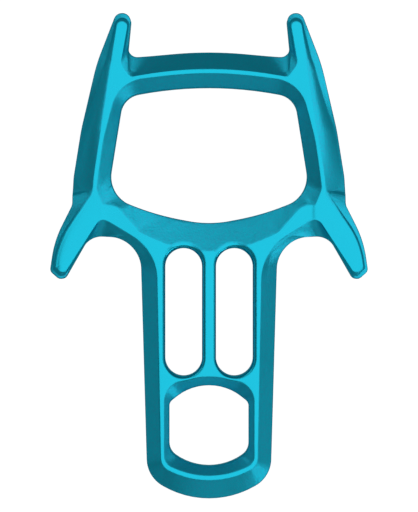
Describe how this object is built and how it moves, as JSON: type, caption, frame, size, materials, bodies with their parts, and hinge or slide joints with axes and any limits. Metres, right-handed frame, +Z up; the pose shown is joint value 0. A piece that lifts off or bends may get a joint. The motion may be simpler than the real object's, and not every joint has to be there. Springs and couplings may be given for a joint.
{
  "type": "figure eight descender",
  "caption": "Flat rescue figure eight descender: a big rope ring between four horns, a shank with twin friction slots and a small carabiner eye.",
  "frame": {"origin": "middle of the bounding box's base, on the table under the forging as it lies flat", "axes": "+X across the forging to the right, +Y along it from the carabiner eye to the upper horns, +Z up through its thickness"},
  "size_m": [0.1046, 0.1601, 0.012],
  "materials": {
    "anodised_teal": "satin teal anodising over a fine blasted grain, smoother on the flat lands"
  },
  "bodies": {
    "root": {"forged_body": "anodised_teal"}
  },
  "joints": []
}
